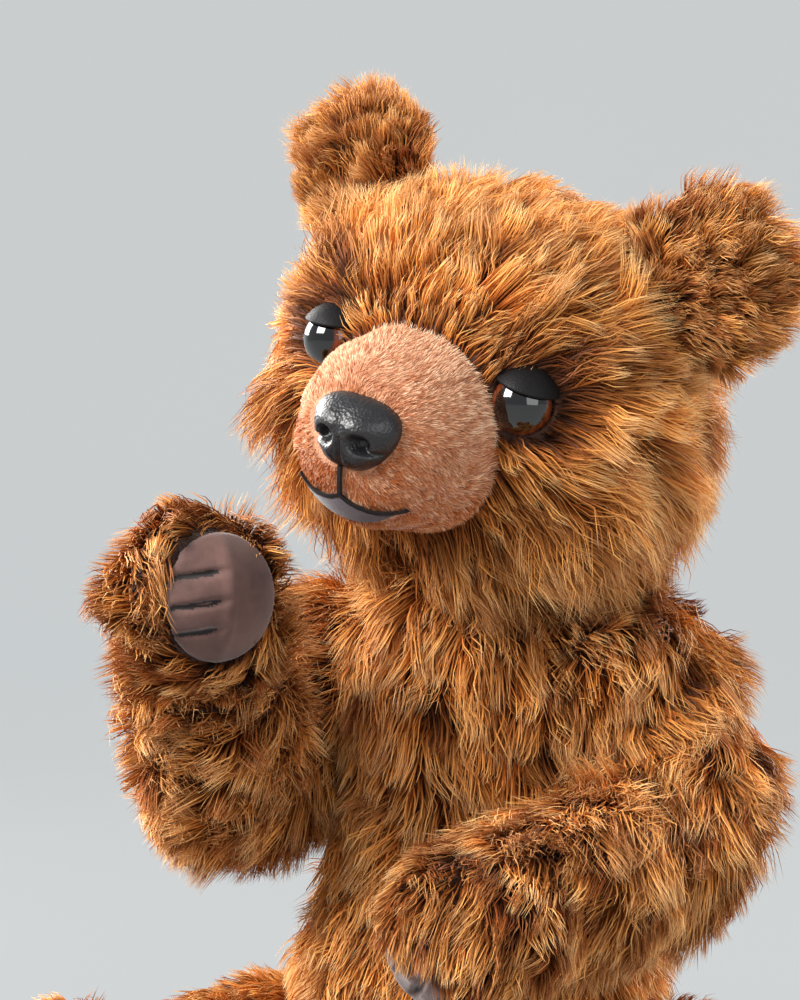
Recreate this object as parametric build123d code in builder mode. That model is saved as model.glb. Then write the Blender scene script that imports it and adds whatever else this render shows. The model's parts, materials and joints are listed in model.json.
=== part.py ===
"""Jointed teddy bear, sitting upright, millimetres.

The bear faces -Y, its left side is +X and +Z is up. The origin is the centre of the flat seat
under the torso. Soft parts are closed solids of the stuffed cloth, without the long pile.
"""
from build123d import *
from math import cos, radians, sin
import os

# ---------------------------------------------------------------- driving dimensions
cloth = 2.5                 # backing cloth with the dense foot of the pile
slack = 0.3                 # gap between pieces that turn against each other
inner_gap = 0.4             # gap between a cover and the stuffing inside it

# torso: height of each section, half width, half depth
torso_sections = [
    (0, 38, 40), (14, 47, 52), (36, 51, 57), (50, 50, 56), (83, 42, 48),
    (110, 36.5, 44), (146, 35, 40), (164, 31, 35), (176, 23, 25),
]
torso_top = torso_sections[-1][0]

# shoulders and hips: a flat pocket on each side of the torso takes the limb's flat inner side
shoulder_y, shoulder_z = -3, 146
shoulder_x = 32
shoulder_pocket_radius = 32
hip_y, hip_z = -6, 26
hip_x = 44
hip_pocket_radius = 30

# limbs: centre of each section, half width and half height
left_arm = [
    (47, -3, 146, 21, 21), (66, -20, 109, 19.5, 19.5), (44, -72, 93, 17, 17), (33, -94, 86, 20, 20),
]
right_arm = [
    (-47, -3, 146, 21, 21), (-60, -38, 117, 19.5, 19.5), (-45, -88, 155, 17, 17), (-38, -108, 173, 20, 20),
]
left_leg = [(60, -6, 26, 22, 22), (76, -48, 25, 20, 21), (86, -80, 26, 19, 22), (92, -98, 30, 21, 27)]

# limb joints: boards, bolt and lock nut on the joint's axis
board_thick = 3
arm_board_radius, leg_board_radius = 10.5, 13
limb_seat_radius = 34        # reach of the flat inner side around a limb's joint
bolt_radius = 2.5
bolt_head_width, bolt_head_thick = 8, 3.5
washer_radius, washer_thick = 6, 1
nut_thick = 5
running_fit = 0.1
cavity_play = 0.6
pad_thick = 1.6
sole_blunt = 0.5

# neck: a wedge between two flat faces, bolted to the torso below and to the head above
neck_y = -3
neck_radius = 19
neck_board_radius = 17
head_yaw, head_pitch, head_roll = -9, 12, 18.5
head_seat_z = 190
head_drop = 46.3            # head centre above the seat, along the swivel axis
head_forward = 6

# head, in its own upright frame with the origin at its centre and the face at -Y
head_half_width, head_radius = 60, 53
muzzle_z = -5.5
eye_radius = 9
eye_x, eye_y, eye_z = 30.5, -41, 10
eye_stem_radius, eye_stem_length = 2.5, 15
eye_washer_radius = 7
ear_x, ear_y, ear_z = 56, 2, 45
ear_radius, ear_thick = 22, 14
ear_cup_radius, ear_cup_depth = 30, 4
nose_back_y, nose_z, nose_depth = -71, -1.5, 15
nose_stem_radius, nose_stem_length = 3, 18
nose_washer_radius = 9
mouth_z = -18.5

os.makedirs("parts", exist_ok=True)


def save(part, name):
    """Label a finished piece and write it as its own node."""
    part.label = name
    export_step(part, f"parts/{name}.step")


def head_axes():
    """Left, forward and up directions of the turned and tilted head."""
    yaw, pitch, roll = radians(head_yaw), radians(head_pitch), radians(head_roll)
    forward = Vector(sin(yaw) * cos(pitch), -cos(yaw) * cos(pitch), -sin(pitch))
    level_up = (Vector(0, 0, 1) - forward * forward.Z).normalized()
    level_left = level_up.cross(forward)
    up = level_up * cos(roll) + level_left * sin(roll)
    left = level_left * cos(roll) - level_up * sin(roll)
    return left, forward, up


head_left, head_face, head_up = head_axes()
head_seat = Vector(0, neck_y, head_seat_z)
head_centre = head_seat + head_up * head_drop + head_face * head_forward
head_place = Plane(origin=head_centre, x_dir=head_left, z_dir=head_up).location


# ---------------------------------------------------------------- torso
def torso_form(inset):
    """The pear-shaped body as a loft through its oval sections, made smaller by inset."""
    with BuildPart() as form:
        for height, half_width, half_depth in torso_sections:
            level = min(max(height, inset), torso_top - inset)
            with BuildSketch(Plane.XY.offset(level)):
                Ellipse(half_width - inset, half_depth - inset)
        loft()
    return form.part


def joint_cylinder(x, y, z, side, radius, length):
    """A cylinder along X that starts at x on the given side and runs outwards."""
    start = Plane(origin=(side * x, y, z), x_dir=(0, 1, 0), z_dir=(side, 0, 0))
    with BuildPart() as rod:
        with BuildSketch(start):
            Circle(radius)
        extrude(amount=length)
    return rod.part


limb_joints = [
    (side, x, y, z, pocket)
    for side in (1, -1)
    for x, y, z, pocket in (
        (shoulder_x, shoulder_y, shoulder_z, shoulder_pocket_radius),
        (hip_x, hip_y, hip_z, hip_pocket_radius),
    )
]
hardware_depth = board_thick + slack + washer_thick + nut_thick + 3

with BuildPart() as torso_hollow:
    add(torso_form(cloth))
    for side, x, y, z, pocket in limb_joints:
        add(joint_cylinder(x - cloth, y, z, side, pocket + cloth, 40), mode=Mode.SUBTRACT)

with BuildPart() as torso_cover:
    add(torso_form(0))
    for side, x, y, z, pocket in limb_joints:
        add(joint_cylinder(x, y, z, side, pocket, 40), mode=Mode.SUBTRACT)
    add(torso_hollow.part, mode=Mode.SUBTRACT)
    for side, x, y, z, pocket in limb_joints:
        add(joint_cylinder(x - 2 * cloth, y, z, side, bolt_radius + 0.5, 10), mode=Mode.SUBTRACT)
    with Locations((0, neck_y, torso_top)):
        Cylinder(bolt_radius + 0.5, 4 * cloth, mode=Mode.SUBTRACT)
save(torso_cover.part, "torso_cover")

with BuildPart() as torso_stuffing:
    add(torso_form(cloth + inner_gap))
    for side, x, y, z, pocket in limb_joints:
        board = arm_board_radius if z == shoulder_z else leg_board_radius
        wall = cloth + inner_gap
        add(joint_cylinder(x - wall, y, z, side, pocket + wall, 40), mode=Mode.SUBTRACT)
        cavity_x = x - cloth - hardware_depth
        cavity_radius = board + cavity_play
        add(joint_cylinder(cavity_x, y, z, side, cavity_radius, hardware_depth + 1), mode=Mode.SUBTRACT)
    with BuildSketch(Plane.XY.offset(torso_top)):
        with Locations((0, neck_y)):
            Circle(neck_board_radius + cavity_play)
    extrude(amount=-(cloth + hardware_depth), mode=Mode.SUBTRACT)
save(torso_stuffing.part, "torso_stuffing")

with BuildPart() as torso_neck_board:
    with BuildSketch(Plane.XY.offset(torso_top - cloth - board_thick)):
        with Locations((0, neck_y)):
            Circle(neck_board_radius)
            Circle(bolt_radius + running_fit, mode=Mode.SUBTRACT)
    extrude(amount=board_thick)
save(torso_neck_board.part, "torso_neck_board")


# ---------------------------------------------------------------- joint hardware
def ring(plane, outer, inner, thick):
    """A flat round board or washer that starts on the plane."""
    with BuildPart() as disc:
        with BuildSketch(plane):
            Circle(outer)
            Circle(inner, mode=Mode.SUBTRACT)
        extrude(amount=thick)
    return disc.part


def bolt(plane, length):
    """A hexagon bolt: the head starts on the plane and the shank runs against its normal."""
    with BuildPart() as screw:
        with BuildSketch(plane):
            RegularPolygon(bolt_head_width / 2, 6, major_radius=False)
        extrude(amount=bolt_head_thick)
        with BuildSketch(plane):
            Circle(bolt_radius)
        extrude(amount=-length)
    return screw.part


def lock_nut(plane):
    """A hexagon lock nut with a round collar, its bearing face on the plane."""
    with BuildPart() as nut:
        with BuildSketch(plane):
            RegularPolygon(bolt_head_width / 2, 6, major_radius=False)
        extrude(amount=-(nut_thick - 1.5))
        with BuildSketch(plane.offset(-(nut_thick - 1.5))):
            Circle(bolt_head_width / 2 - 0.3)
        extrude(amount=-1.5)
        with BuildSketch(plane):
            Circle(bolt_radius + 0.02)
        extrude(amount=-nut_thick, mode=Mode.SUBTRACT)
    return nut.part


def save_joint(name, x, y, z, side, board_radius):
    """Boards, washers, bolt and nut of one limb joint.

    The seat at x is the outer face of the torso. The limb's wall starts slack beyond it.
    """
    seat = Plane(origin=(side * x, y, z), x_dir=(0, 1, 0), z_dir=(side, 0, 0))
    limb_board_at = slack + cloth
    head_at = limb_board_at + board_thick + washer_thick
    nut_at = -cloth - board_thick - slack - washer_thick
    torso_board_at = seat.offset(-cloth - board_thick)
    torso_board = ring(torso_board_at, board_radius, bolt_radius + running_fit, board_thick)
    save(torso_board, f"{name}_torso_board")
    limb_board = ring(seat.offset(limb_board_at), board_radius, bolt_radius + 0.02, board_thick)
    save(limb_board, f"{name}_limb_board")
    head_washer = ring(seat.offset(head_at - washer_thick), washer_radius, bolt_radius + 0.02, washer_thick)
    nut_washer = ring(seat.offset(nut_at), washer_radius, bolt_radius + 0.02, washer_thick)
    save(Compound(children=[head_washer, nut_washer]), f"{name}_washers")
    save(bolt(seat.offset(head_at), head_at - nut_at + nut_thick + 1), f"{name}_bolt")
    save(lock_nut(seat.offset(nut_at)), f"{name}_lock_nut")


for side, word in ((1, "left"), (-1, "right")):
    save_joint(f"{word}_shoulder", shoulder_x, shoulder_y, shoulder_z, side, arm_board_radius)
    save_joint(f"{word}_hip", hip_x, hip_y, hip_z, side, leg_board_radius)


# ---------------------------------------------------------------- limbs
def limb_form(stations, inset, blunt):
    """A sewn tube through its stations, closed at both ends by domes, made smaller by inset.

    blunt is the far dome's depth against its width: less than 1 flattens it, as on a sole.
    """
    path = Spline(*[station[:3] for station in stations])
    first = stations[0]
    last = stations[-1]
    domes = (78, 55, 28)
    sections = []
    for angle in domes:
        back = sin(radians(angle)) * (first[3] - inset)
        centre = Vector(*first[:3]) - (path % 0) * back
        shrink = cos(radians(angle))
        sections.append((centre, path % 0, (first[3] - inset) * shrink, (first[4] - inset) * shrink))
    for index, station in enumerate(stations):
        place = path.param_at_point(Vector(*station[:3]))
        sections.append((Vector(*station[:3]), path % place, station[3] - inset, station[4] - inset))
        if index < len(stations) - 1:
            following = stations[index + 1]
            middle = (place + path.param_at_point(Vector(*following[:3]))) / 2
            half_width = (station[3] + following[3]) / 2 - inset
            half_height = (station[4] + following[4]) / 2 - inset
            sections.append((path @ middle, path % middle, half_width, half_height))
    for angle in reversed(domes):
        ahead = sin(radians(angle)) * (last[3] * blunt - inset)
        centre = Vector(*last[:3]) + (path % 1) * ahead
        shrink = cos(radians(angle))
        sections.append((centre, path % 1, (last[3] - inset) * shrink, (last[4] - inset) * shrink))
    with BuildPart() as form:
        for centre, direction, half_width, half_height in sections:
            across = direction.cross(Vector(0, 0, 1)).normalized()
            with BuildSketch(Plane(origin=centre, x_dir=across, z_dir=direction)):
                Ellipse(half_width, half_height)
        loft()
    return form.part


def flattened(form, side, x, seat_y, seat_z):
    """A limb with its inner side cut flat at x around its joint."""
    with BuildPart() as kept:
        add(form)
        add(joint_cylinder(x - 30, seat_y, seat_z, side, limb_seat_radius, 30), mode=Mode.SUBTRACT)
    return kept.part


def save_limb(name, stations, side, seat_x, seat_y, seat_z, board_radius, blunt):
    """The cover, stuffing and hollow for the joint hardware of one limb."""
    wall_x = seat_x + slack
    shell_outer = flattened(limb_form(stations, 0, blunt), side, wall_x, seat_y, seat_z)
    shell_inner = flattened(limb_form(stations, cloth, blunt), side, wall_x + cloth, seat_y, seat_z)
    with BuildPart() as cover:
        add(shell_outer)
        add(shell_inner, mode=Mode.SUBTRACT)
        hole = joint_cylinder(wall_x - 1, seat_y, seat_z, side, bolt_radius + 0.5, cloth + 2)
        add(hole, mode=Mode.SUBTRACT)
    save(cover.part, f"{name}_cover")
    head_room = board_thick + washer_thick + bolt_head_thick + cavity_play
    with BuildPart() as filling:
        shrunk = limb_form(stations, cloth + inner_gap, blunt)
        add(flattened(shrunk, side, wall_x + cloth + inner_gap, seat_y, seat_z))
        cavity_radius = board_radius + cavity_play
        cavity = joint_cylinder(wall_x, seat_y, seat_z, side, cavity_radius, cloth + head_room)
        add(cavity, mode=Mode.SUBTRACT)
    save(filling.part, f"{name}_stuffing")
    return shell_outer


def mirrored(stations):
    """The same limb on the other side of the body."""
    return [(-x, y, z, half_width, half_height) for x, y, z, half_width, half_height in stations]


arm_forms = {
    "left": save_limb("left_arm", left_arm, 1, shoulder_x, shoulder_y, shoulder_z, arm_board_radius, 1),
    "right": save_limb("right_arm", right_arm, -1, shoulder_x, shoulder_y, shoulder_z, arm_board_radius, 1),
}
right_leg = mirrored(left_leg)
leg_forms = {
    "left": save_limb("left_leg", left_leg, 1, hip_x, hip_y, hip_z, leg_board_radius, sole_blunt),
    "right": save_limb("right_leg", right_leg, -1, hip_x, hip_y, hip_z, leg_board_radius, sole_blunt),
}


# ---------------------------------------------------------------- paw and foot pads
def pad(form, stations, blunt, direction, radius_across, radius_up):
    """A suede pad: an oval patch of even thickness over the end of a limb."""
    across = Vector(0, 0, 1).cross(Vector(*direction))
    plane = Plane(origin=stations[-1][:3], x_dir=across, z_dir=direction)
    with BuildPart() as patch:
        add(limb_form(stations, -pad_thick, blunt))
        with BuildSketch(plane):
            Ellipse(radius_across, radius_up)
        extrude(amount=40, mode=Mode.INTERSECT)
        add(form, mode=Mode.SUBTRACT)
    return patch.part.solids().sort_by(SortBy.VOLUME)[-1]


save(pad(arm_forms["left"], left_arm, 1, (-0.6, -0.3, -0.74), 15, 15), "left_paw_pad")
save(pad(arm_forms["right"], right_arm, 1, (0.78, -0.62, -0.1), 15, 17), "right_paw_pad")
save(pad(leg_forms["left"], left_leg, sole_blunt, (0.2, -0.98, 0), 15, 24), "left_foot_pad")
save(pad(leg_forms["right"], right_leg, sole_blunt, (-0.2, -0.98, 0), 15, 24), "right_foot_pad")


# ---------------------------------------------------------------- neck
neck_seat = Plane(origin=(0, neck_y, torso_top), x_dir=(1, 0, 0), z_dir=(0, 0, 1))
swivel_seat = Plane(origin=head_seat, x_dir=head_left, z_dir=head_up)


def neck_wedge(inset):
    """The plug between the flat top of the torso and the tilted seat of the head."""
    with BuildPart() as wedge:
        with BuildSketch(neck_seat.offset(slack + inset)):
            Circle(neck_radius - 2 * inset)
        extrude(amount=40)
        split(bisect_by=swivel_seat.offset(-inset), keep=Keep.BOTTOM)
    return wedge.part


with BuildPart() as neck_plug:
    add(neck_wedge(0))
    add(neck_wedge(cloth), mode=Mode.SUBTRACT)
    with BuildSketch(neck_seat):
        Circle(bolt_radius + 0.02)
    extrude(amount=slack + cloth + 1, mode=Mode.SUBTRACT)
    with BuildSketch(swivel_seat):
        Circle(bolt_radius + 0.02)
    extrude(amount=-cloth - 1, mode=Mode.SUBTRACT)
save(neck_plug.part, "neck_plug")

lower_head = neck_seat.offset(slack + cloth)
lower_nut_at = cloth + board_thick + slack + washer_thick
lower_nut = neck_seat.offset(-lower_nut_at)
upper_head = Plane(origin=swivel_seat.offset(-cloth).origin, x_dir=head_left, z_dir=-head_up)
upper_nut_at = slack + cloth + board_thick + slack + washer_thick
upper_nut = Plane(origin=swivel_seat.offset(upper_nut_at).origin, x_dir=head_left, z_dir=-head_up)
save(bolt(lower_head, slack + cloth + lower_nut_at + nut_thick + 1), "neck_lower_bolt")
save(bolt(upper_head, cloth + upper_nut_at + nut_thick + 1), "neck_upper_bolt")
save(lock_nut(lower_nut), "neck_lower_lock_nut")
save(lock_nut(upper_nut), "neck_upper_lock_nut")
lower_washer = ring(lower_nut, washer_radius, bolt_radius + 0.02, washer_thick)
upper_washer = ring(upper_nut, washer_radius, bolt_radius + 0.02, washer_thick)
save(Compound(children=[lower_washer, upper_washer]), "neck_washers")
head_board_at = swivel_seat.offset(slack + cloth)
head_board = ring(head_board_at, neck_board_radius, bolt_radius + running_fit, board_thick)
save(head_board, "head_neck_board")


# ---------------------------------------------------------------- head cover and stuffing
swivel_y = head_forward     # the swivel axis stands behind the head's centre


def head_form(inset):
    """A ball wider than tall, cut flat where it sits on the neck."""
    with BuildPart() as form:
        for angle in range(-80, 81, 20):
            level = (head_half_width - inset) * sin(radians(angle))
            with BuildSketch(Plane.YZ.offset(level)):
                Circle((head_radius - inset) * cos(radians(angle)))
        loft()
        split(bisect_by=Plane.XY.offset(-head_drop + slack + inset), keep=Keep.TOP)
    return form.part


def eye_plane(side):
    """The eye's centre on the face, with the way it looks as the normal."""
    return Plane(origin=(side * eye_x, eye_y, eye_z), x_dir=(0, 0, 1), z_dir=(side * 0.38, -0.92, 0.1))


def rod(plane, radius, start, length):
    """A round rod along a plane's normal, from start to start + length."""
    with BuildPart() as shape:
        with BuildSketch(plane.offset(start)):
            Circle(radius)
        extrude(amount=length)
    return shape.part


neck_axis = Plane(origin=(0, swivel_y, -head_drop), x_dir=(1, 0, 0), z_dir=(0, 0, 1))
head_skin = head_form(0)

with BuildPart() as head_cover:
    add(head_skin)
    add(head_form(cloth), mode=Mode.SUBTRACT)
    add(rod(neck_axis, bolt_radius + 0.5, -1, cloth + 3), mode=Mode.SUBTRACT)
    for side in (1, -1):
        add(rod(eye_plane(side), eye_stem_radius + 0.3, -12, 20), mode=Mode.SUBTRACT)
save(head_cover.part.moved(head_place), "head_cover")

with BuildPart() as head_stuffing:
    add(head_form(cloth + inner_gap))
    neck_room = board_thick + slack + washer_thick + nut_thick + 3
    add(rod(neck_axis, neck_board_radius + cavity_play, 0, slack + cloth + neck_room), mode=Mode.SUBTRACT)
    for side in (1, -1):
        add(rod(eye_plane(side), eye_washer_radius + cavity_play, -20, 30), mode=Mode.SUBTRACT)
save(head_stuffing.part.moved(head_place), "head_stuffing")


# ---------------------------------------------------------------- muzzle, nose and mouth
muzzle_profile = [(28.5, -28), (28.5, -42), (27.2, -55), (23.6, -66.5), (16.6, -75), (8, -78.8), (0, -80)]


def muzzle_form(inset):
    """The short snout, round about its own axis and closed at the tip."""
    outline = []
    for index, (radius, y) in enumerate(muzzle_profile):
        outline.append((max(radius - inset, 0), y + inset * (index / 6)))
    with BuildPart() as form:
        with BuildSketch(Plane.XY.offset(muzzle_z)):
            with BuildLine():
                Spline(*outline)
                Polyline(outline[-1], (0, outline[0][1]), outline[0])
            make_face()
        revolve(axis=Axis((0, 0, muzzle_z), (0, 1, 0)))
    return form.part


nose_plane = Plane(origin=(0, nose_back_y, nose_z), x_dir=(1, 0, 0), z_dir=(0, -1, 0))
head_grown = head_form(-0.1)
muzzle_skin = muzzle_form(-0.05)
muzzle_grown = muzzle_form(-0.2)

with BuildPart() as muzzle_cover:
    add(muzzle_form(0))
    add(muzzle_form(cloth), mode=Mode.SUBTRACT)
    add(head_grown, mode=Mode.SUBTRACT)
    add(rod(nose_plane, nose_stem_radius + 0.3, -20, 40), mode=Mode.SUBTRACT)
save(muzzle_cover.part.solids().sort_by(SortBy.VOLUME)[-1].moved(head_place), "muzzle_cover")

with BuildPart() as muzzle_stuffing:
    add(muzzle_form(cloth + inner_gap))
    add(head_grown, mode=Mode.SUBTRACT)
    add(rod(nose_plane, nose_washer_radius + cavity_play, -20, 40), mode=Mode.SUBTRACT)
save(muzzle_stuffing.part.solids().sort_by(SortBy.VOLUME)[-1].moved(head_place), "muzzle_stuffing")

nose_corners = [(-12, 8.5), (12, 8.5), (14.5, 1), (8, -9.5), (-8, -9.5), (-14.5, 1)]
with BuildPart() as nose:
    for level, scale_down in ((0, 1), (nose_depth, 0.78)):
        with BuildSketch(nose_plane.offset(level)):
            with BuildLine():
                Polyline(*[(x * scale_down, z * scale_down) for x, z in nose_corners], close=True)
            make_face()
            fillet(vertices(), 3.5 * scale_down)
    loft()
    fillet(faces().sort_by(Axis.Y)[0].edges(), 3)
    add(muzzle_skin, mode=Mode.SUBTRACT)
    for side in (1, -1):
        with Locations((side * 5.2, nose_back_y - nose_depth, nose_z - 1)):
            Sphere(2.4, mode=Mode.SUBTRACT)
    add(rod(nose_plane, nose_stem_radius, -nose_stem_length, nose_stem_length + nose_depth - 4))
save(nose.part.moved(head_place), "nose")

nose_washer = ring(nose_plane.offset(-5), nose_washer_radius, nose_stem_radius + 0.02, 1.2)
save(nose_washer.moved(head_place), "nose_lock_washer")


def mouth_drawing(width):
    """The short line under the nose and the two curves of the closed mouth."""
    with BuildSketch(Plane.XZ.offset(90)) as drawing:
        with BuildLine():
            Line((0, nose_z - 8), (0, mouth_z))
        trace(line_width=width)
        for side in (1, -1):
            with BuildLine():
                ThreePointArc((0, mouth_z), (side * 9, mouth_z - 2.6), (side * 17, mouth_z - 0.5))
            trace(line_width=width)
    return drawing.sketch


with BuildPart() as mouth_thread:
    add(muzzle_form(-1))
    extrude(mouth_drawing(1.0), amount=-45, mode=Mode.INTERSECT)
    add(muzzle_skin, mode=Mode.SUBTRACT)
    add(nose.part, mode=Mode.SUBTRACT)
save(mouth_thread.part.solids().sort_by(SortBy.VOLUME)[-1].moved(head_place), "mouth_thread")

with BuildPart() as lower_lip:
    add(muzzle_form(-0.9))
    with BuildSketch(Plane.XZ.offset(90)):
        with BuildLine():
            ThreePointArc((0, mouth_z - 0.8), (8, mouth_z - 3.4), (14, mouth_z - 2.6))
            ThreePointArc((14, mouth_z - 2.6), (0, mouth_z - 8), (-14, mouth_z - 2.6))
            ThreePointArc((-14, mouth_z - 2.6), (-8, mouth_z - 3.4), (0, mouth_z - 0.8))
        make_face()
    extrude(amount=-45, mode=Mode.INTERSECT)
    extrude(mouth_drawing(1.2), amount=-45, mode=Mode.SUBTRACT)
    add(muzzle_skin, mode=Mode.SUBTRACT)
save(lower_lip.part.solids().sort_by(SortBy.VOLUME)[-1].moved(head_place), "lower_lip")


# ---------------------------------------------------------------- eyes and ears
look = eye_plane(1)
with BuildPart() as eye:
    with Locations(look.origin):
        Sphere(eye_radius)
    add(head_grown, mode=Mode.SUBTRACT)
    add(muzzle_grown, mode=Mode.SUBTRACT)
    add(rod(look, eye_stem_radius, -eye_stem_length, eye_stem_length + 2))

brow = Plane(origin=look.origin, x_dir=(1, 0, 0), z_dir=(0.1, -0.2, 0.97))
with BuildPart() as eyelid:
    with Locations(look.origin):
        Sphere(eye_radius + 1.6)
        Sphere(eye_radius + 0.2, mode=Mode.SUBTRACT)
    split(bisect_by=brow.offset(4.5), keep=Keep.TOP)
    add(head_grown, mode=Mode.SUBTRACT)
    add(muzzle_grown, mode=Mode.SUBTRACT)

ear_plane = Plane(origin=(ear_x, ear_y, ear_z), x_dir=(0, 0, 1), z_dir=(0.2, -0.97, 0.1))
with BuildPart() as ear_form:
    face_radius = (ear_radius**2 + (ear_thick / 2) ** 2) / ear_thick
    face_shift = face_radius - ear_thick / 2
    with Locations((0, 0, face_shift)):
        Sphere(face_radius)
    with Locations((0, 0, -face_shift)):
        Sphere(face_radius, mode=Mode.INTERSECT)
    with Locations((0, 0, ear_thick / 2 + ear_cup_radius - ear_cup_depth)):
        Sphere(ear_cup_radius, mode=Mode.SUBTRACT)
with BuildPart() as ear:
    add(ear_form.part.moved(ear_plane.location))
    add(head_grown, mode=Mode.SUBTRACT)

for piece, name in ((eye, "eye"), (eyelid, "eyelid"), (ear, "ear")):
    left_piece = piece.part.solids().sort_by(SortBy.VOLUME)[-1]
    save(left_piece.moved(head_place), f"left_{name}")
    save(left_piece.mirror(Plane.YZ).moved(head_place), f"right_{name}")

eye_washers = [
    ring(eye_plane(side).offset(-6.5), eye_washer_radius, eye_stem_radius + 0.02, 1.2).moved(head_place)
    for side in (1, -1)
]
save(Compound(children=eye_washers), "eye_lock_washers")
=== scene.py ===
"""Looks of the jointed teddy bear around its CAD frame: fur, face, suede pads, floor and light. Metres."""
import json
import math

import bmesh
import bpy
import numpy as np
from mathutils import Matrix, Vector
from mathutils.bvhtree import BVHTree
from mathutils.kdtree import KDTree


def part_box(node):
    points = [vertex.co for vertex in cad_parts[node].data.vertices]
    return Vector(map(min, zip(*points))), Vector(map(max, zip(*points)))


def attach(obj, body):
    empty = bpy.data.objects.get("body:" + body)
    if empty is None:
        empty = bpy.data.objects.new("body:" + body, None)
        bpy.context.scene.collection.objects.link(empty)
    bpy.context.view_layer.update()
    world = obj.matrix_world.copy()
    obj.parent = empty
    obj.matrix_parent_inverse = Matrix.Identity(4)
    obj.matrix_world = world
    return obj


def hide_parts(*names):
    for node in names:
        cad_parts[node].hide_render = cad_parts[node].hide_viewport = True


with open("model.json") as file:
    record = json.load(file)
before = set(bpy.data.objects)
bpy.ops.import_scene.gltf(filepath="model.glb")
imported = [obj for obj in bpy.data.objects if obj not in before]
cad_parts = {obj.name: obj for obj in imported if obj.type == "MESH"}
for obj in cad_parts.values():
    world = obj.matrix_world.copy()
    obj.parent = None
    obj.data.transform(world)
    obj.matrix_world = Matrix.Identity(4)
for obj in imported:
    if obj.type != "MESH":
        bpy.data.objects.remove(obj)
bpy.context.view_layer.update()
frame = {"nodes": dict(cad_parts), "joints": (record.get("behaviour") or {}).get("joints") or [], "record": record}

MM = 0.001
scene = bpy.context.scene
nodes = frame["nodes"]
joints = {joint["name"]: joint for joint in frame["joints"]}


# ---------------------------------------------------------------- head frame
def unit(vector):
    """A numpy vector, or each row of an array, scaled to length one."""
    array = np.asarray(vector, float)
    return array / np.maximum(np.linalg.norm(array, axis=-1, keepdims=True), 1e-12)


def box_centre(node):
    low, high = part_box(node)
    return (low + high) / 2


HEAD_DROP = 46.3 * MM
HEAD_FORWARD = 6 * MM
head_up = Vector(joints["head_swivel"]["axis"]).normalized()
across_eyes = box_centre("left_eye") - box_centre("right_eye")
head_left = (across_eyes - head_up * across_eyes.dot(head_up)).normalized()
head_face = head_left.cross(head_up)
head_origin = Vector(joints["head_swivel"]["pos_m"]) + head_up * HEAD_DROP + head_face * HEAD_FORWARD
head_matrix = Matrix((head_left, -head_face, head_up)).transposed().to_4x4()
head_matrix.translation = head_origin
HEAD_AXES = np.array([head_left, -head_face, head_up])
HEAD_ORIGIN = np.array(head_origin)


def to_head(points):
    """World points in the head's own frame: x to its left, y backwards, z up, in millimetres."""
    return (points - HEAD_ORIGIN) @ HEAD_AXES.T / MM


def from_head(directions):
    """Directions of the head's own frame, in world axes."""
    return directions @ HEAD_AXES


# ---------------------------------------------------------------- camera
VIEW_AZIMUTH = math.radians(23)
VIEW_DISTANCE = 708 * MM
VIEW_SIDE = -24 * MM
VIEW_HEIGHT = 197 * MM
sight_right = Vector((math.cos(VIEW_AZIMUTH), math.sin(VIEW_AZIMUTH), 0))
sight_back = Vector((math.sin(VIEW_AZIMUTH), -math.cos(VIEW_AZIMUTH), 0))
camera_data = bpy.data.cameras.new("camera")
camera_data.lens = 85
camera_data.clip_start = 0.05
camera = bpy.data.objects.new("camera", camera_data)
camera.location = sight_right * VIEW_SIDE + sight_back * VIEW_DISTANCE + Vector((0, 0, VIEW_HEIGHT))
camera.rotation_euler = (math.radians(90), 0, VIEW_AZIMUTH)
scene.collection.objects.link(camera)
scene.camera = camera


# ---------------------------------------------------------------- materials
class Shader:
    """A short way to write node materials: each call adds a node and links its inputs."""

    def __init__(self, name):
        self.material = bpy.data.materials.new(name)
        self.material.use_nodes = True
        self.tree = self.material.node_tree
        self.surface = self.tree.nodes["Principled BSDF"]

    def node(self, kind, settings=None, **inputs):
        made = self.tree.nodes.new(kind)
        for key, value in (settings or {}).items():
            setattr(made, key, value)
        for key, value in inputs.items():
            self.feed(made.inputs[key.replace("_", " ")], value)
        return made

    def feed(self, socket, value):
        if isinstance(value, bpy.types.NodeSocket):
            self.tree.links.new(value, socket)
        elif hasattr(socket.default_value, "__len__") and not hasattr(value, "__len__"):
            socket.default_value = [value] * len(socket.default_value)
        elif hasattr(value, "__len__") and len(socket.default_value) == 4 and len(value) == 3:
            socket.default_value = (*value, 1)
        else:
            socket.default_value = value

    def ramp(self, factor, stops):
        made = self.node("ShaderNodeValToRGB")
        self.feed(made.inputs[0], factor)
        elements = made.color_ramp.elements
        while len(elements) < len(stops):
            elements.new(0.5)
        for element, (position, colour) in zip(elements, stops):
            element.position = position
            element.color = (*colour, 1)
        return made.outputs[0]

    def mix(self, factor, first, second, blend="MIX"):
        made = self.node("ShaderNodeMix", {"data_type": "RGBA", "blend_type": blend})
        self.feed(made.inputs[0], factor)
        self.feed(made.inputs[6], first)
        self.feed(made.inputs[7], second)
        return made.outputs[2]

    def noise(self, scale, detail=4.0, roughness=0.6, space="Object"):
        place = self.node("ShaderNodeTexCoord").outputs[space]
        made = self.node(
            "ShaderNodeTexNoise", Scale=scale, Detail=detail, Roughness=roughness, Vector=place)
        return made.outputs["Fac"]

    def cells(self, scale, feature="F1"):
        place = self.node("ShaderNodeTexCoord").outputs["Object"]
        made = self.node("ShaderNodeTexVoronoi", {"feature": feature}, Scale=scale, Vector=place)
        return made.outputs["Distance"]

    def bump(self, height, strength, distance):
        made = self.node("ShaderNodeBump", Strength=strength, Distance=distance, Height=height)
        self.feed(self.surface.inputs["Normal"], made.outputs["Normal"])

    def finish(self, **settings):
        for key, value in settings.items():
            self.feed(self.surface.inputs[key.replace("_", " ")], value)
        return self.material


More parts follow.
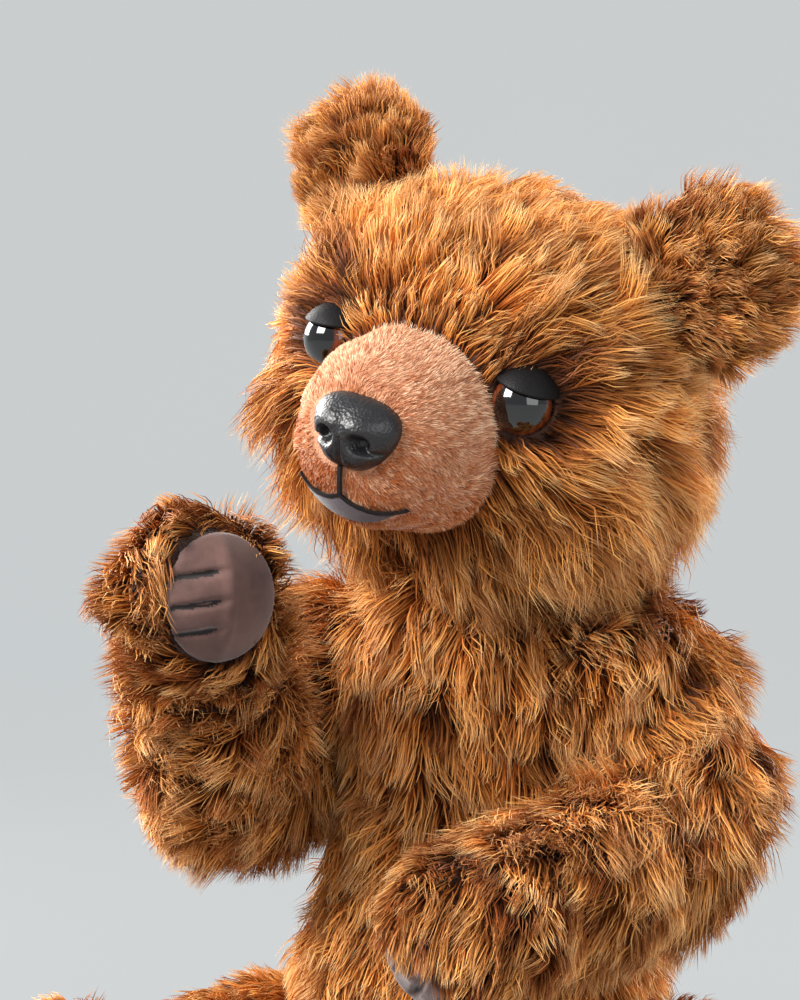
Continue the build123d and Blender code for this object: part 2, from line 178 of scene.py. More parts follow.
def fur_material(name, dark_stops, light_stops, roughness=0.6, sheen=0.1):
    """Strand colour from the strand's own map: u is its shade and v runs from root to tip."""
    shader = Shader(name)
    place = shader.node("ShaderNodeUVMap", {"uv_map": "OFBake"}).outputs[0]
    parts = shader.node("ShaderNodeSeparateXYZ", Vector=place)
    dark = shader.ramp(parts.outputs["Y"], dark_stops)
    light = shader.ramp(parts.outputs["Y"], light_stops)
    colour = shader.mix(parts.outputs["X"], dark, light)
    return shader.finish(
        Base_Color=colour, Roughness=roughness, Sheen_Weight=sheen, Sheen_Roughness=0.35,
        Sheen_Tint=(1.0, 0.76, 0.5), Specular_IOR_Level=0.22,
    )


def srgb(red, green, blue):
    """A display colour, 0 to 255, as a linear one."""
    return tuple(((c / 255 + 0.055) / 1.055) ** 2.4 if c > 10 else c / 3295 for c in (red, green, blue))


pile_material = fur_material(
    "long_pile",
    [
        (0.0, srgb(20, 8, 4)), (0.4, srgb(62, 25, 8)),
        (0.75, srgb(138, 66, 20)), (1.0, srgb(188, 108, 46)),
    ],
    [
        (0.0, srgb(108, 50, 16)), (0.35, srgb(206, 114, 42)),
        (0.7, srgb(250, 178, 92)), (1.0, srgb(255, 224, 166)),
    ],
)
short_material = fur_material(
    "short_pile",
    [(0.0, srgb(130, 56, 18)), (0.5, srgb(190, 100, 42)), (1.0, srgb(218, 134, 68))],
    [(0.0, srgb(208, 142, 100)), (0.5, srgb(248, 202, 162)), (1.0, srgb(255, 232, 204))],
    sheen=0.25,
)


def backing_material(name, low, high):
    """The knitted cloth under the pile."""
    shader = Shader(name)
    colour = shader.ramp(shader.noise(220.0), [(0.3, low), (0.7, high)])
    shader.bump(shader.cells(1600.0), 0.6, 0.0006)
    return shader.finish(Base_Color=colour, Roughness=0.9, Sheen_Weight=0.3)


backing = backing_material("backing_cloth", srgb(40, 20, 11), srgb(84, 44, 21))
muzzle_backing = backing_material("muzzle_cloth", srgb(164, 98, 60), srgb(212, 150, 112))


# ---------------------------------------------------------------- skins: outer faces of the stuffed covers
def mesh_object(name, vertices, faces, material=None):
    mesh = bpy.data.meshes.new(name)
    mesh.from_pydata([tuple(v) for v in vertices], [], [tuple(f) for f in faces])
    made = bpy.data.objects.new(name, mesh)
    scene.collection.objects.link(made)
    if material:
        mesh.materials.append(material)
    return made


def points_and_faces(mesh):
    """A mesh as a list of points and a list of faces."""
    return [v.co.copy() for v in mesh.vertices], [tuple(p.vertices) for p in mesh.polygons]


def vertex_rows(mesh, name="co"):
    """The places, or the normals, of a mesh's vertices as rows of an array."""
    values = np.zeros(len(mesh.vertices) * 3)
    mesh.vertices.foreach_get(name, values)
    return values.reshape(-1, 3)


def shade_smooth(mesh):
    for polygon in mesh.polygons:
        polygon.use_smooth = True


def open_directions():
    """Fourteen ways out of a point: along the axes and the cube's diagonals."""
    ways = [(x, y, z) for x in (-1, 0, 1) for y in (-1, 0, 1) for z in (-1, 0, 1)]
    return [Vector(w).normalized() for w in ways if abs(w[0]) + abs(w[1]) + abs(w[2]) in (1, 3)]


def outer_faces(node):
    """The faces of a hollow CAD cover that can be seen from outside."""
    mesh = nodes[node].data
    points, faces = points_and_faces(mesh)
    tree = BVHTree.FromPolygons(points, faces)
    ways = open_directions()
    kept = []
    for polygon, face in zip(mesh.polygons, faces):
        start = polygon.center + polygon.normal * 0.05 * MM
        if any(tree.ray_cast(start, way)[0] is None for way in ways if way.dot(polygon.normal) > 0):
            kept.append(face)
    return points, kept


def apply_modifiers(piece):
    """Replaces a piece's mesh by the result of its modifiers."""
    graph = bpy.context.evaluated_depsgraph_get()
    result = bpy.data.meshes.new_from_object(piece.evaluated_get(graph))
    piece.modifiers.clear()
    old = piece.data
    piece.data = result
    bpy.data.meshes.remove(old)


def skin(node, name, material, voxel=2.5 * MM, shrink=1.2 * MM):
    """A closed, even mesh of a cover's outside, drawn in by shrink to leave room for the pile."""
    points, faces = outer_faces(node)
    piece = mesh_object(name, points, faces, material)
    form = bmesh.new()
    form.from_mesh(piece.data)
    bmesh.ops.remove_doubles(form, verts=form.verts, dist=0.01 * MM)
    bmesh.ops.delete(form, geom=[v for v in form.verts if not v.link_faces], context="VERTS")
    bmesh.ops.holes_fill(form, edges=[e for e in form.edges if e.is_boundary], sides=0)
    bmesh.ops.recalc_face_normals(form, faces=form.faces)
    form.to_mesh(piece.data)
    form.free()
    remesh = piece.modifiers.new("even", "REMESH")
    remesh.mode = "VOXEL"
    remesh.voxel_size = voxel
    smooth = piece.modifiers.new("smooth", "SMOOTH")
    smooth.iterations = 4
    inward = piece.modifiers.new("inward", "DISPLACE")
    inward.strength = -shrink
    inward.mid_level = 0
    apply_modifiers(piece)
    shade_smooth(piece.data)
    return piece


CLOTH_FRAMES = 20
FLOOR_GAP = 0.2 * MM


def plump(piece, cap=2.0 * MM):
    """Puffs a stuffed skin by a short cloth simulation under pressure. A point moves at most cap."""
    rest = vertex_rows(piece.data)
    cloth = piece.modifiers.new("cloth", "CLOTH")
    cloth.settings.use_pressure = True
    cloth.settings.uniform_pressure_force = 4
    cloth.settings.quality = 3
    cloth.settings.tension_stiffness = 20
    cloth.settings.effector_weights.gravity = 0
    cloth.point_cache.frame_end = CLOTH_FRAMES
    for number in range(1, CLOTH_FRAMES + 1):
        scene.frame_set(number)
    apply_modifiers(piece)
    scene.frame_set(1)
    step = vertex_rows(piece.data) - rest
    length = np.linalg.norm(step, axis=1, keepdims=True)
    step *= np.minimum(1, cap / np.maximum(length, 1e-9))
    settled = rest + step
    settled[:, 2] = np.maximum(settled[:, 2], FLOOR_GAP)
    piece.data.vertices.foreach_set("co", settled.ravel())
    piece.data.update()


# ---------------------------------------------------------------- fur
SEGMENTS = 4


def sample_surface(piece, count, random, keep=None):
    """Random points on a mesh, even by area, with smooth normals."""
    mesh = piece.data
    mesh.calc_loop_triangles()
    corners = np.zeros(len(mesh.loop_triangles) * 3, int)
    mesh.loop_triangles.foreach_get("vertices", corners)
    corners = corners.reshape(-1, 3)
    points = vertex_rows(mesh)
    normals = vertex_rows(mesh, "normal")
    a, b, c = (points[corners[:, i]] for i in range(3))
    weight = np.linalg.norm(np.cross(b - a, c - a), axis=1)
    if keep is not None:
        weight = weight * keep((a + b + c) / 3)
    chosen = random.choice(len(corners), count, p=weight / weight.sum())
    u = random.random(count)
    v = random.random(count)
    flip = u + v > 1
    u[flip], v[flip] = 1 - u[flip], 1 - v[flip]
    bary = np.stack([1 - u - v, u, v], axis=1)[:, :, None]
    place = (points[corners[chosen]] * bary).sum(1)
    normal = unit((normals[corners[chosen]] * bary).sum(1))
    return place, normal


def waves(points, wavelength, seed):
    """A smooth random vector field: a few sine waves in random directions."""
    random = np.random.default_rng(seed)
    field = np.zeros((len(points), 3))
    for _ in range(6):
        direction = unit(random.normal(size=3)) * 2 * math.pi / (wavelength * random.uniform(0.6, 1.6))
        field += np.sin(points @ direction + random.uniform(0, 6.28))[:, None] * random.normal(size=3)
    return field / 3.5


def fur(name, body, roots, normals, comb, length, width, material, shade, seed,
        lift=0.42, droop=0.16, clump=0.95, clump_share=0.03, wild=0.2, curl=0.14, slot="long_pile"):
    """Makes a coat of flat tapered strands on the given roots and lets it ride on its body.

    comb is the way each strand is brushed, length its length, and shade its lightness from 0 to 1.
    """
    random = np.random.default_rng(seed)
    count = len(roots)
    tangent = unit(comb - normals * (comb * normals).sum(1, keepdims=True))
    tangent = unit(tangent + waves(roots, 20 * MM, seed) * 0.5 + random.normal(size=(count, 3)) * wild)
    heading = unit(normals * lift + tangent * (1 - lift))
    step = (length / SEGMENTS)[:, None]
    line = np.zeros((count, SEGMENTS + 1, 3))
    line[:, 0] = roots
    down = np.array([0, 0, -1.0])
    for index in range(SEGMENTS):
        line[:, index + 1] = line[:, index] + heading * step
        bend = tangent * 0.22 + down * droop + random.normal(size=(count, 3)) * 0.05
        heading = unit(heading + bend)
    leaders = random.choice(count, max(2, int(count * clump_share)), replace=False)
    tree = KDTree(len(leaders))
    for index, leader in enumerate(leaders):
        tree.insert(roots[leader], index)
    tree.balance()
    nearest = leaders[[tree.find(root)[1] for root in roots]]
    tightness = clump * random.uniform(0.5, 1.0, count)[:, None]
    for index in range(1, SEGMENTS + 1):
        share = tightness * (index / SEGMENTS) ** 1.3
        guide = roots + (line[nearest, index] - roots[nearest])
        gather = line[nearest, index] - guide
        line[:, index] += share * ((guide - line[:, index]) * 0.7 + gather * 0.75)
    lock_side = unit(random.normal(size=(len(roots), 3)))[nearest]
    lock_phase = random.uniform(0, 2 * math.pi, len(roots))[nearest]
    own_side = unit(random.normal(size=(count, 3)))
    for index in range(1, SEGMENTS + 1):
        swing = np.sin(lock_phase + index * 1.5)[:, None] * length[:, None] * (index / SEGMENTS)
        line[:, index] += swing * (lock_side * curl + own_side * curl * 0.35)
    line[:, :, 2] = np.maximum(line[:, :, 2], 0.4 * MM)
    sideways = unit(np.cross(line[:, -1] - line[:, 0], random.normal(size=(count, 3))))
    taper = np.array([0.9, 1.0, 0.85, 0.6])
    half = (width * random.uniform(0.7, 1.3, count))[:, None] / 2
    per = 2 * SEGMENTS + 1
    vertices = np.zeros((count, per, 3))
    for index in range(SEGMENTS):
        vertices[:, 2 * index] = line[:, index] - sideways * half * taper[index]
        vertices[:, 2 * index + 1] = line[:, index] + sideways * half * taper[index]
    vertices[:, -1] = line[:, -1]
    pattern = []
    for index in range(SEGMENTS - 1):
        low = 2 * index
        pattern += [(low, low + 1, low + 3), (low, low + 3, low + 2)]
    pattern.append((2 * SEGMENTS - 2, 2 * SEGMENTS - 1, 2 * SEGMENTS))
    pattern = np.array(pattern)
    faces = (pattern[None] + (np.arange(count) * per)[:, None, None]).reshape(-1, 3)
    lock_shade = (random.normal(size=count) * 0.2)[nearest]
    shade = np.clip(shade + lock_shade + random.normal(size=count) * 0.16, 0.02, 0.98)
    along = np.repeat(np.arange(SEGMENTS + 1) / SEGMENTS, 2)[:per]
    map_u = shade[:, None] + np.tile([-0.004, 0.004], SEGMENTS + 1)[:per][None]
    map_v = np.repeat((0.02 + 0.96 * along)[None], count, axis=0)
    map_points = np.stack([map_u, map_v], axis=2).reshape(-1, 2)

    mesh = bpy.data.meshes.new(name)
    mesh.vertices.add(count * per)
    mesh.vertices.foreach_set("co", vertices.ravel())
    mesh.loops.add(len(faces) * 3)
    mesh.loops.foreach_set("vertex_index", faces.ravel())
    mesh.polygons.add(len(faces))
    mesh.polygons.foreach_set("loop_start", np.arange(0, len(faces) * 3, 3))
    mesh.polygons.foreach_set("loop_total", np.full(len(faces), 3))
    mesh.uv_layers.new(name="OFBake")
    mesh.uv_layers["OFBake"].data.foreach_set("uv", map_points[faces.ravel()].ravel())
    mesh.materials.append(material)
    mesh.update(calc_edges=True)
    mesh.polygons.foreach_set("use_smooth", np.full(len(faces), True))
    piece = bpy.data.objects.new(name, mesh)
    scene.collection.objects.link(piece)
    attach(piece, body)
    return piece


def surface_tree(node):
    """A search tree over the faces of a CAD node."""
    return BVHTree.FromPolygons(*points_and_faces(nodes[node].data))


def clear_of(trees, reach):
    """Keeps the roots that stand farther than reach from each of the given surfaces."""
    def keep(centres):
        free = [all(tree.find_nearest(Vector(c), reach)[0] is None for tree in trees) for c in centres]
        return np.array(free, float)
    return keep


DENSITY = 1.0


STRANDS_IN_A_PIECE = 26000


def coat(name, body, piece, count, comb_of, length_of, shade_of, width, material, seed,
         keep=None, **style):
    """Fur over a skin, in pieces of a size that stays whole when it is exported."""
    random = np.random.default_rng(seed)
    roots, normals = sample_surface(piece, int(count * DENSITY), random, keep)
    order = np.argsort(roots[:, 2])
    shares = max(1, math.ceil(len(order) / STRANDS_IN_A_PIECE))
    for number, chosen in enumerate(np.array_split(order, shares)):
        place, normal = roots[chosen], normals[chosen]
        label = f"{name}_{number + 1}" if shares > 1 else name
        fur(label, body, place, normal, comb_of(place, normal), length_of(place, normal) * MM,
            width, material, shade_of(place, normal), seed + number, **style)


# ---------------------------------------------------------------- torso
torso_skin = skin("torso_cover", "torso_skin", backing)
plump(torso_skin)
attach(torso_skin, "torso")
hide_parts("torso_cover", "torso_stuffing")


def downwards(place, normal):
    return np.repeat([[0, 0, -1.0]], len(place), axis=0) + normal * [0.3, 0.3, 0]


def patchy(place, base, amount, seed):
    return base + amount * waves(place, 30 * MM, seed)[:, 0]


coat("torso_fur", "torso", torso_skin, 46000, downwards,
     lambda p, n: 19 + 3 * waves(p, 15 * MM, 3)[:, 0], lambda p, n: patchy(p, 0.7, 0.2, 5),
     0.46 * MM, pile_material, 11)

# ---------------------------------------------------------------- limbs
for side_name in ("left", "right"):
    for limb, joint_name, count in (("arm", "shoulder", 28000), ("leg", "hip", 15000)):
        body = f"{side_name}_{limb}"
        limb_skin = skin(f"{body}_cover", f"{body}_skin", backing)
        plump(limb_skin)
        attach(limb_skin, body)
        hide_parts(f"{body}_cover", f"{body}_stuffing")
        pivot = np.array(joints[f"{side_name}_{joint_name}_turn"]["pos_m"])
        end = np.array(box_centre(f"{side_name}_{'paw' if limb == 'arm' else 'foot'}_pad"))

        def along_limb(place, normal, pivot=pivot, end=end):
            away = unit(place - pivot)
            towards = unit(end - place)
            near = np.clip(np.linalg.norm(place - end, axis=1) / (30 * MM), 0, 1)[:, None]
            return away + towards * near * 0.6 + [0, 0, -0.25]

        def limb_length(place, normal, end=end, full=20 if limb == "arm" else 13):
            near = np.clip(np.linalg.norm(place - end, axis=1) / (55 * MM), 0, 1)
            return 7 + (full - 7) * near + 2 * waves(place, 14 * MM, 9)[:, 0]

        def limb_shade(place, normal, end=end):
            near = np.clip(np.linalg.norm(place - end, axis=1) / (50 * MM), 0, 1)
            return 0.16 + 0.32 * near + 0.28 * waves(place, 13 * MM, 8)[:, 1]

        pad_node = f"{side_name}_{'paw' if limb == 'arm' else 'foot'}_pad"
        coat(f"{body}_fur", body, limb_skin, count, along_limb, limb_length, limb_shade,
             0.42 * MM, pile_material, 21 if limb == "arm" else 31,
             keep=clear_of([surface_tree(pad_node)], 2.6 * MM))

# ---------------------------------------------------------------- head
MUZZLE_AXIS_Z = -5.5
EYE = np.array([30.5, -41.0, 10.0])
EYE_RADIUS = 9.0
head_skin = skin("head_cover", "head_skin", backing)
plump(head_skin, 1.0 * MM)
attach(head_skin, "head")
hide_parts("head_cover", "head_stuffing")


def head_comb(place, normal):
    """Brushed away from the muzzle: up the brow and back, out over the cheeks, down under the chin."""
    local = to_head(place)
    radial = unit(np.stack([local[:, 0], local[:, 1] * 0, local[:, 2] - MUZZLE_AXIS_Z], axis=1))
    field = radial * 0.9 + [0, 0.75, 0]
    hanging = np.clip((14 - local[:, 2]) / 34, 0, 1.3)
    return from_head(field) + hanging[:, None] * [0.12, -0.1, -1.15]


def head_length(place, normal):
    local = to_head(place)
    from_muzzle = np.hypot(local[:, 0], local[:, 2] - MUZZLE_AXIS_Z) + np.clip(local[:, 1] + 48, 0, 100)
    grow = np.clip((from_muzzle - 26) / 26, 0, 1)
    cheek = np.clip((8 - local[:, 2]) / 24, 0, 1)
    from_ear = np.hypot(np.abs(local[:, 0]) - 42, local[:, 2] - 30)
    by_ear = np.exp(-((from_ear / 16) ** 2)) * np.clip((40 - from_ear) / 20, 0, 1)
    return 6 + 11 * grow + 18 * cheek * grow + 7 * by_ear + 2.5 * waves(place, 12 * MM, 13)[:, 0]


def head_shade(place, normal):
    local = to_head(place)
    eye_gap = np.hypot(np.abs(local[:, 0]) - EYE[0], local[:, 2] - EYE[2] - 2)
    dark_eye = np.exp(-((eye_gap / 14) ** 2)) * (local[:, 1] < -25)
    low_cheek = np.clip((-4 - local[:, 2]) / 22, 0, 1)
    return 0.72 - 0.5 * dark_eye - 0.26 * low_cheek + 0.2 * waves(place, 24 * MM, 14)[:, 0]


def off_face(centres):
    """Leaves out the roots that would stand inside the muzzle and the eyes."""
    local = to_head(centres)
    in_front = local[:, 1] < -25
    in_muzzle = np.hypot(local[:, 0], local[:, 2] - MUZZLE_AXIS_Z) < 26.5
    in_eye = np.hypot(np.abs(local[:, 0]) - EYE[0], local[:, 2] - EYE[2] + 1) < 8.5
    return np.where(in_front & (in_muzzle | in_eye), 0.0, 1.0)


coat("head_fur", "head", head_skin, 68000, head_comb, head_length, head_shade,
     0.36 * MM, pile_material, 41, keep=off_face, lift=0.36, wild=0.16)

# ---------------------------------------------------------------- ears
for side_name, sign in (("left", 1), ("right", -1)):
    ear_skin = skin(
        f"{side_name}_ear", f"{side_name}_ear_skin", backing, voxel=1.2 * MM, shrink=0.6 * MM)
    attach(ear_skin, "head")
    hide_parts(f"{side_name}_ear")
    ear_base = np.array([sign * 42.0, 2.0, 26.0])

    def ear_comb(place, normal, base=ear_base):
        outwards = unit(to_head(place) - base) * [1, 0.4, 1]
        return from_head(outwards + [0, 0.15, 0])

    def ear_length(place, normal):
        return np.where(from_head_y(normal) < -0.3, 10.0, 13.5) + 2 * waves(place, 9 * MM, 17)[:, 0]

    def from_head_y(normal):
        return normal @ HEAD_AXES[1]

    def ear_shade(place, normal):
        inside = np.clip(-from_head_y(normal), 0, 1)
        return 0.62 - 0.3 * inside + 0.2 * waves(place, 11 * MM, 18)[:, 0]

    coat(f"{side_name}_ear_fur", "head", ear_skin, 13000, ear_comb, ear_length, ear_shade,
         0.36 * MM, pile_material, 61 + sign, clump=0.8)

# ---------------------------------------------------------------- muzzle
muzzle_skin = skin("muzzle_cover", "muzzle_skin", muzzle_backing, voxel=1.2 * MM, shrink=0.3 * MM)
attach(muzzle_skin, "head")
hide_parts("muzzle_cover", "muzzle_stuffing")


def muzzle_comb(place, normal):
    local = to_head(place)
    radial = unit(np.stack([local[:, 0], local[:, 1] * 0, local[:, 2] - 2], axis=1))
    return from_head(radial * 0.6 + [0, 1.0, -0.1])


def muzzle_shade(place, normal):
    local = to_head(place)
    # Painted light and shade: the pile is made lighter towards the top and darker towards the bottom; the darker,
    # redder patch by the nose is its own colour.
    height = (local[:, 2] - MUZZLE_AXIS_Z) / 28
    near_nose = np.exp(-(((local[:, 1] + 78) / 10) ** 2))
    mottle = 0.08 * waves(place, 9 * MM, 19)[:, 0]
    return 0.5 + 0.5 * np.clip(height, -0.5, 1) - 0.3 * near_nose + mottle


coat("muzzle_fur", "head", muzzle_skin, 50000, muzzle_comb,
     lambda p, n: 2.0 + np.clip((to_head(p)[:, 1] + 60) / 18, 0, 1) * 2.0, muzzle_shade,
     0.17 * MM, short_material, 71,
     keep=clear_of([surface_tree(node) for node in ("nose", "lower_lip", "mouth_thread")], 0.9 * MM),
     lift=0.3, droop=0.02, clump=0.15, clump_share=0.06, wild=0.1, curl=0.02, slot="short_pile")


# ---------------------------------------------------------------- nose
def moulded(name, base, roughness, bump_scale, bump_strength, coat=0.0, shine=0.5):
    shader = Shader(name)
    grain = shader.noise(900.0, 5.0)
    colour = shader.ramp(grain, [(0.3, base), (0.75, tuple(c * 1.8 for c in base))])
    shader.bump(shader.cells(bump_scale), bump_strength, 0.0003)
    return shader.finish(Base_Color=colour, Roughness=roughness, Coat_Weight=coat, Coat_Roughness=0.25,
                         Specular_IOR_Level=shine)


nose_material = moulded("nose_moulding", srgb(24, 23, 25), 0.36, 1150.0, 0.55, 0.15)
lid_material = moulded("eyelid_moulding", srgb(14, 13, 14), 0.55, 1900.0, 0.25, shine=0.18)

NOSE_HALF = np.array([14.2, 9.5, 10.2])
NOSE_MIDDLE = np.array([2.0, -76.5, -0.6])


def nose_mesh():
    """A dog-like nose: wide above, narrow below, with two nostrils, side slits and a middle groove."""
    rings, spokes = 90, 150
    polar = np.linspace(0.0, math.pi, rings)
    around = np.linspace(0, 2 * math.pi, spokes, endpoint=False)
    p, a = np.meshgrid(polar, around, indexing="ij")
    front = np.cos(p)
    x = np.sin(p) * np.cos(a)
    z = np.sin(p) * np.sin(a)
    square = (np.abs(x) ** 3 + np.abs(z) ** 3 + 1e-9) ** (1 / 3) / np.maximum(np.hypot(x, z), 1e-9)
    x, z = x / square ** 0.6, z / square ** 0.6
    x = x * (0.86 + 0.20 * z - 0.08 * z ** 2)
    px, py, pz = x * NOSE_HALF[0], -front * NOSE_HALF[1], z * NOSE_HALF[2]
    py = py + 0.6 * (pz / 10) ** 2 * (front > 0)
    facing = np.clip(front * 2.2, 0, 1)

    def dent(centre_x, centre_z, radius_x, radius_z, depth):
        across = ((np.abs(px) - centre_x) / radius_x) ** 2 + ((pz - centre_z) / radius_z) ** 2
        return depth * np.exp(-across ** 1.6) * facing

    py = py + dent(5.2, -0.6, 2.5, 2.3, 4.6)
    py = py + dent(8.6, -2.6, 2.6, 0.9, 1.9)
    py = py + dent(11.2, -4.2, 2.0, 0.9, 1.4)
    middle = np.exp(-((px / 0.75) ** 2)) * np.clip((-pz + 1.0) / 3, 0, 1)
    py = py + 1.3 * middle * facing
    py = py - dent(4.6, 4.2, 4.0, 2.6, 0.9)
    py = py - dent(3.4, -6.6, 2.6, 2.4, 0.7)
    points = np.stack([px, py, pz], axis=2).reshape(-1, 3) + NOSE_MIDDLE
    world = from_head(points * MM) + HEAD_ORIGIN
    faces = []
    for ring in range(rings - 1):
        for spoke in range(spokes):
            following = (spoke + 1) % spokes
            faces.append((ring * spokes + spoke, ring * spokes + following,
                          (ring + 1) * spokes + following, (ring + 1) * spokes + spoke))
    return world, faces


nose_points, nose_faces = nose_mesh()
nose_piece = mesh_object("nose_moulding", nose_points, nose_faces, nose_material)
shade_smooth(nose_piece.data)
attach(nose_piece, "head")
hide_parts("nose")


# ---------------------------------------------------------------- eyes and eyelids
def turned(name, profile, frame_matrix, material, spokes=72):
    """A surface of revolution about its frame's Z axis from (radius, height) points, in millimetres."""
    around = np.linspace(0, 2 * math.pi, spokes, endpoint=False)
    points = [(r * math.cos(t) * MM, r * math.sin(t) * MM, h * MM) for r, h in profile for t in around]
    faces = []
    for row in range(len(profile) - 1):
        for spoke in range(spokes):
            following = (spoke + 1) % spokes
            faces.append((row * spokes + spoke, row * spokes + following,
                          (row + 1) * spokes + following, (row + 1) * spokes + spoke))
    piece = mesh_object(name, points, faces, material)
    shade_smooth(piece.data)
    weld = bmesh.new()
    weld.from_mesh(piece.data)
    bmesh.ops.remove_doubles(weld, verts=weld.verts, dist=0.001 * MM)
    bmesh.ops.recalc_face_normals(weld, faces=weld.faces)
    weld.to_mesh(piece.data)
    weld.free()
    piece.matrix_world = frame_matrix
    return piece


def frame_towards(centre, direction):
    """A placement at a head-frame point with its Z axis along a head-frame direction."""
    place = from_head(np.array([centre]) * MM)[0] + HEAD_ORIGIN
    axis = Vector(from_head(np.array([unit(direction)]))[0])
    matrix = axis.to_track_quat("Z", "Y").to_matrix().to_4x4()
    matrix.translation = Vector(place)
    return matrix


eye_shader = Shader("eye_dome")
eye_place = eye_shader.node("ShaderNodeTexCoord").outputs["Object"]
eye_depth = eye_shader.node("ShaderNodeSeparateXYZ", Vector=eye_place).outputs["Z"]
eye_height = eye_shader.node("ShaderNodeMath", {"operation": "MULTIPLY"})
eye_shader.feed(eye_height.inputs[0], eye_depth)
eye_height.inputs[1].default_value = 1000 / EYE_RADIUS
streaks = eye_shader.noise(700.0, 6.0)
iris = eye_shader.ramp(streaks, [(0.3, srgb(48, 18, 8)), (0.7, srgb(112, 48, 22))])
BLACK, WHITE = (0, 0, 0), (1, 1, 1)
is_iris = eye_shader.ramp(
    eye_height.outputs[0], [(0.40, BLACK), (0.46, WHITE), (0.60, WHITE), (0.66, BLACK)])
eye_colour = eye_shader.mix(is_iris, srgb(7, 5, 5), iris)
eye_material = eye_shader.finish(
    Base_Color=eye_colour, Roughness=0.08, Coat_Weight=1.0, Coat_Roughness=0.02)


EYE_LOOK = np.array([0.38, -0.92, 0.1])
LID_POLE = np.array([0.10, 0.05, 0.98])
LID_OUTER, LID_INNER, LID_RIM = 10.5, 9.3, 58


def arc_points(radius, degrees):
    """Profile points of a ball of the given radius, at angles from its pole."""
    return [(radius * math.sin(math.radians(t)), radius * math.cos(math.radians(t))) for t in degrees]


for side_name, sign in (("left", 1), ("right", -1)):
    mirror = np.array([sign, 1, 1])
    look = EYE_LOOK * mirror
    dome = [(EYE_RADIUS * math.sin(t), EYE_RADIUS * math.cos(t)) for t in np.linspace(0, math.pi, 60)]
    eye_piece = turned(f"{side_name}_eye_dome", dome, frame_towards(EYE * mirror, look), eye_material)
    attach(eye_piece, "head")
    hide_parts(f"{side_name}_eye")
    brow = LID_POLE * mirror
    lid = arc_points(LID_OUTER, range(0, LID_RIM, 3))
    middle, half = (LID_OUTER + LID_INNER) / 2, (LID_OUTER - LID_INNER) / 2
    for turn in range(0, 181, 20):
        reach = middle + half * math.cos(math.radians(turn))
        swing = math.radians(LID_RIM) + half * math.sin(math.radians(turn)) / middle
        lid.append((reach * math.sin(swing), reach * math.cos(swing)))
    lid += arc_points(LID_INNER, range(LID_RIM - 4, 30, -4))
    lid_piece = turned(f"{side_name}_eyelid_hood", lid, frame_towards(EYE * mirror, brow), lid_material)
    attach(lid_piece, "head")
    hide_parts(f"{side_name}_eyelid")


# ---------------------------------------------------------------- suede pads
def suede(name, low, high):
    shader = Shader(name)
    cloudy = shader.noise(60.0, 6.0, 0.7)
    colour = shader.ramp(cloudy, [(0.3, low), (0.7, high)])
    shader.bump(shader.noise(2600.0, 6.0, 0.75), 0.5, 0.0004)
    return shader.finish(Base_Color=colour, Roughness=0.82, Sheen_Weight=0.45, Sheen_Roughness=0.4)


pad_material = suede("pad_suede", srgb(70, 45, 40), srgb(108, 76, 68))
# Painted shade: the creases get a near-black suede for the shadow that lies in them.
crease_shade_material = suede("pad_crease_shade", srgb(20, 13, 12), srgb(38, 26, 24))
lip_material = suede("lip_suede", srgb(62, 52, 58), srgb(96, 84, 92))


CREASE_LEVELS = (-7.0, 0.5, 8.0)
CREASE_HALF_WIDTH = 1.0 * MM
CREASE_DEPTH = 2.0 * MM
PALM_RIDGE_HALF_WIDTH = 2.2 * MM
PALM_RIDGE_HEIGHT = 0.9 * MM


def pad_piece(node, name, body, creases):
    """A suede pad with soft edges and finger creases that run in from one side; the creases are coloured dark as
    painted shade.
    """
    piece = mesh_object(name, *points_and_faces(nodes[node].data), pad_material)
    remesh = piece.modifiers.new("even", "REMESH")
    remesh.mode = "VOXEL"
    remesh.voxel_size = 0.6 * MM
    smooth = piece.modifiers.new("smooth", "SMOOTH")
    smooth.iterations = 5
    apply_modifiers(piece)
    spots = vertex_rows(piece.data)
    normals = vertex_rows(piece.data, "normal")
    middle = spots.mean(0)
    facing = np.linalg.svd(spots - middle, full_matrices=False)[2][2]
    facing = facing * np.sign(facing @ (middle - np.array(box_centre(f"{body}_cover"))))
    outer_side = unit(np.cross(facing, [0, 0, 1]))
    outer_side = outer_side * np.sign(outer_side[0] * middle[0])
    height = (spots - middle) @ np.cross(outer_side, facing)
    reach = (spots - middle) @ outer_side
    inwards = np.clip((reach + 1 * MM) / (6 * MM), 0, 1) * np.clip(normals @ facing, 0, 1)
    depth = np.zeros(len(spots))
    for level in creases:
        from_line = (height - level * MM + 0.2 * reach) / CREASE_HALF_WIDTH
        groove = np.exp(-(from_line ** 2)) * inwards
        spots -= facing * groove[:, None] * CREASE_DEPTH
        depth = np.maximum(depth, groove)
    if creases:
        ridge = np.exp(-((reach / PALM_RIDGE_HALF_WIDTH) ** 2)) * np.clip(normals @ facing, 0, 1)
        spots += facing * ridge[:, None] * PALM_RIDGE_HEIGHT
    piece.data.vertices.foreach_set("co", spots.ravel())
    piece.data.materials.append(crease_shade_material)
    shade_smooth(piece.data)
    # Faces deep in a crease take the dark suede: painted shade in the grooves.
    for polygon in piece.data.polygons:
        polygon.material_index = int(depth[list(polygon.vertices)].mean() > 0.5)
    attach(piece, body)
    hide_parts(node)


for side_name in ("left", "right"):
    pad_piece(f"{side_name}_paw_pad", f"{side_name}_palm", f"{side_name}_arm", CREASE_LEVELS)
    pad_piece(f"{side_name}_foot_pad", f"{side_name}_sole", f"{side_name}_leg", ())


# ---------------------------------------------------------------- carried-over CAD pieces
def grained(name, low, high, scale, roughness, metallic=0.0):
    shader = Shader(name)
    colour = shader.ramp(shader.noise(scale, 5.0), [(0.3, low), (0.7, high)])
    shader.bump(shader.noise(scale * 4, 4.0), 0.3, 0.0002)
    return shader.finish(Base_Color=colour, Roughness=roughness, Metallic=metallic)


